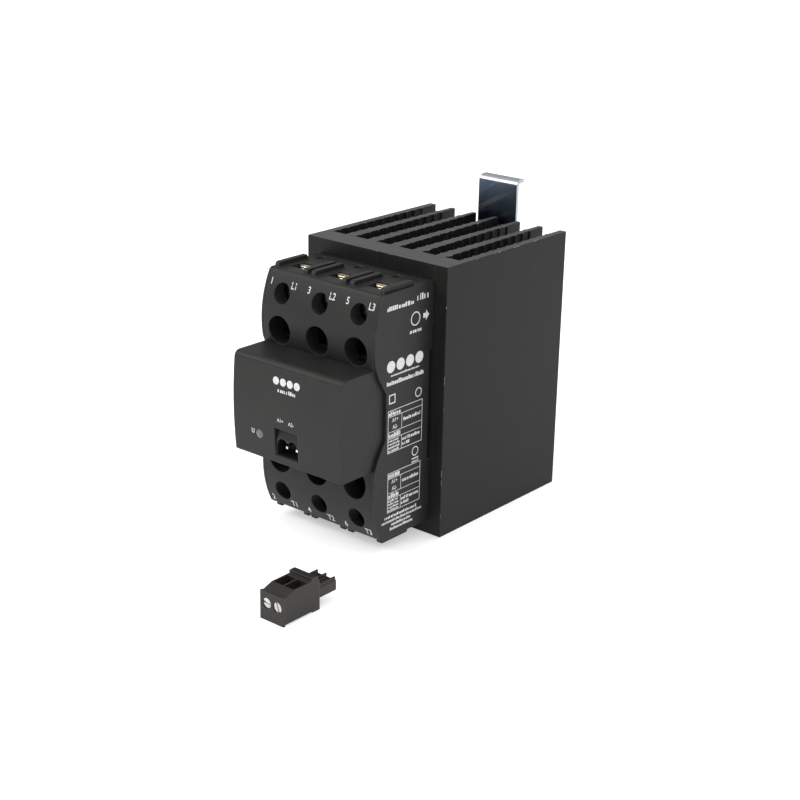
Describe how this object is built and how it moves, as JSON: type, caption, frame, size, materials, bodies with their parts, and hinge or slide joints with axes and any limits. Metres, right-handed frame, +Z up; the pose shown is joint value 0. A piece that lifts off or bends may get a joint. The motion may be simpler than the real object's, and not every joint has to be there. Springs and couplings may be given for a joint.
{
  "type": "solid state relay",
  "caption": "Solid state relay on a finned heatsink, with screw terminals behind round wells, a control nose with a plug-in socket, a loose plug and a rail clip.",
  "frame": {"origin": "middle of the heatsink's bottom face, on the floor it stands on", "axes": "-Y the terminal side, +Y the rail side, +X to the right seen from the front, +Z up"},
  "size_m": [0.0763, 0.1761, 0.1246],
  "materials": {
    "anodised_aluminium": "black anodised, satin, extruded",
    "black_plastic": "fine spark-eroded moulding texture",
    "socket_plastic": "smooth moulded",
    "plug_plastic": "smooth moulded, slightly brown black",
    "zinc_steel": "bright zinc plated sheet",
    "spring_steel": "drawn wire",
    "plated_screws": "nickel plated, satin",
    "tinned_brass": "tinned brass, serrated",
    "cage_steel": "nickel plated",
    "gold_pins": "flash gilt",
    "copper_plate": "nickel plated copper",
    "thermal_sheet": "matt",
    "white_ceramic": "matt",
    "silicon": "glossy die",
    "potting": "cast epoxy",
    "circuit_board": "solder mask",
    "chip_white": "moulded package",
    "capacitor_red": "epoxy dipped",
    "resistor_blue": "lacquered",
    "led_body": "clear epoxy",
    "light_pipe_grey": "frosted acrylic"
  },
  "bodies": {
    "relay": {"heatsink": "anodised_aluminium", "thermal_pad": "thermal_sheet", "base_plate": "copper_plate", "ceramic_tiles": "white_ceramic", "thyristor_chips": "silicon", "resin_potting": "potting", "terminal_posts": "tinned_brass", "module_screws": "plated_screws", "housing_frame": "black_plastic", "terminal_cover_top": "black_plastic", "control_cover": "black_plastic", "terminal_cover_bottom": "black_plastic", "busbar_1": "tinned_brass", "busbar_2": "tinned_brass", "busbar_3": "tinned_brass", "busbar_4": "tinned_brass", "busbar_5": "tinned_brass", "busbar_6": "tinned_brass", "busbar_screws": "plated_screws", "terminal_nuts": "plated_screws", "control_board": "circuit_board", "board_screws": "plated_screws", "gate_pins": "gold_pins", "optocoupler_1": "chip_white", "optocoupler_2": "chip_white", "optocoupler_3": "chip_white", "snubber_capacitors": "capacitor_red", "snubber_resistors": "resistor_blue", "input_header": "socket_plastic", "header_pins": "gold_pins", "status_led": "led_body", "light_pipe": "light_pipe_grey", "rail_bracket": "zinc_steel", "bracket_screws": "plated_screws", "latch_spring": "spring_steel"},
    "latch": {"rail_latch": "zinc_steel"},
    "clamp_1": {"clamp_washer_1": "plated_screws"},
    "screw_1": {"clamp_screw_1": "plated_screws"},
    "clamp_2": {"clamp_washer_2": "plated_screws"},
    "screw_2": {"clamp_screw_2": "plated_screws"},
    "clamp_3": {"clamp_washer_3": "plated_screws"},
    "screw_3": {"clamp_screw_3": "plated_screws"},
    "clamp_4": {"clamp_washer_4": "plated_screws"},
    "screw_4": {"clamp_screw_4": "plated_screws"},
    "clamp_5": {"clamp_washer_5": "plated_screws"},
    "screw_5": {"clamp_screw_5": "plated_screws"},
    "clamp_6": {"clamp_washer_6": "plated_screws"},
    "screw_6": {"clamp_screw_6": "plated_screws"},
    "plug": {"plug_housing": "plug_plastic", "plug_contact_1": "tinned_brass", "plug_contact_2": "tinned_brass"},
    "plug_cage_1": {"plug_clamp_1": "cage_steel"},
    "plug_driver_1": {"plug_screw_1": "plated_screws"},
    "plug_cage_2": {"plug_clamp_2": "cage_steel"},
    "plug_driver_2": {"plug_screw_2": "plated_screws"}
  },
  "joints": [
    {"name": "latch_slide", "type": "slide", "parent": "relay", "child": "latch", "axis": [0, 0, 1], "range_m": [0, 0.005], "stiffness_N_per_m": 600, "springref_m": -0.01, "deforming": ["latch_spring"]},
    {"name": "clamp_1_slide", "type": "slide", "parent": "relay", "child": "clamp_1", "axis": [0, 1, 0], "range_m": [0, 0.003]},
    {"name": "screw_1_turn", "type": "hinge", "parent": "clamp_1", "child": "screw_1", "pos_m": [-0.0192, -0.06, 0.0942], "axis": [0, 1, 0], "range_deg": [0, 1545]},
    {"name": "clamp_2_slide", "type": "slide", "parent": "relay", "child": "clamp_2", "axis": [0, 1, 0], "range_m": [0, 0.003]},
    {"name": "screw_2_turn", "type": "hinge", "parent": "clamp_2", "child": "screw_2", "pos_m": [0, -0.06, 0.0942], "axis": [0, 1, 0], "range_deg": [0, 1545]},
    {"name": "clamp_3_slide", "type": "slide", "parent": "relay", "child": "clamp_3", "axis": [0, 1, 0], "range_m": [0, 0.003]},
    {"name": "screw_3_turn", "type": "hinge", "parent": "clamp_3", "child": "screw_3", "pos_m": [0.0192, -0.06, 0.0942], "axis": [0, 1, 0], "range_deg": [0, 1545]},
    {"name": "clamp_4_slide", "type": "slide", "parent": "relay", "child": "clamp_4", "axis": [0, 1, 0], "range_m": [0, 0.003]},
    {"name": "screw_4_turn", "type": "hinge", "parent": "clamp_4", "child": "screw_4", "pos_m": [-0.0192, -0.06, 0.014], "axis": [0, 1, 0], "range_deg": [0, 1545]},
    {"name": "clamp_5_slide", "type": "slide", "parent": "relay", "child": "clamp_5", "axis": [0, 1, 0], "range_m": [0, 0.003]},
    {"name": "screw_5_turn", "type": "hinge", "parent": "clamp_5", "child": "screw_5", "pos_m": [0, -0.06, 0.014], "axis": [0, 1, 0], "range_deg": [0, 1545]},
    {"name": "clamp_6_slide", "type": "slide", "parent": "relay", "child": "clamp_6", "axis": [0, 1, 0], "range_m": [0, 0.003]},
    {"name": "screw_6_turn", "type": "hinge", "parent": "clamp_6", "child": "screw_6", "pos_m": [0.0192, -0.06, 0.014], "axis": [0, 1, 0], "range_deg": [0, 1545]},
    {"name": "plug_carry", "type": "slide", "parent": "relay", "child": "plug", "axis": [-0.6831, 0.3042, 0.664], "range_m": [0, 0.0523]},
    {"name": "plug_cage_1_slide", "type": "slide", "parent": "plug", "child": "plug_cage_1", "axis": [0, -1, 0], "range_m": [0, 0.0024]},
    {"name": "plug_screw_1_turn", "type": "hinge", "parent": "plug", "child": "plug_driver_1", "pos_m": [0.03316, -0.13, 0.0066], "axis": [0, 1, 0], "range_deg": [0, 1730]},
    {"name": "plug_cage_2_slide", "type": "slide", "parent": "plug", "child": "plug_cage_2", "axis": [0, -1, 0], "range_m": [0, 0.0024]},
    {"name": "plug_screw_2_turn", "type": "hinge", "parent": "plug", "child": "plug_driver_2", "pos_m": [0.03824, -0.13, 0.0066], "axis": [0, 1, 0], "range_deg": [0, 1730]}
  ],
  "couplings": [
    {"joint": "screw_1_turn", "follows": "clamp_1_slide", "rad_per_m": 8976},
    {"joint": "screw_2_turn", "follows": "clamp_2_slide", "rad_per_m": 8976},
    {"joint": "screw_3_turn", "follows": "clamp_3_slide", "rad_per_m": 8976},
    {"joint": "screw_4_turn", "follows": "clamp_4_slide", "rad_per_m": 8976},
    {"joint": "screw_5_turn", "follows": "clamp_5_slide", "rad_per_m": 8976},
    {"joint": "screw_6_turn", "follows": "clamp_6_slide", "rad_per_m": 8976},
    {"joint": "plug_screw_1_turn", "follows": "plug_cage_1_slide", "rad_per_m": 12566},
    {"joint": "plug_screw_2_turn", "follows": "plug_cage_2_slide", "rad_per_m": 12566}
  ]
}
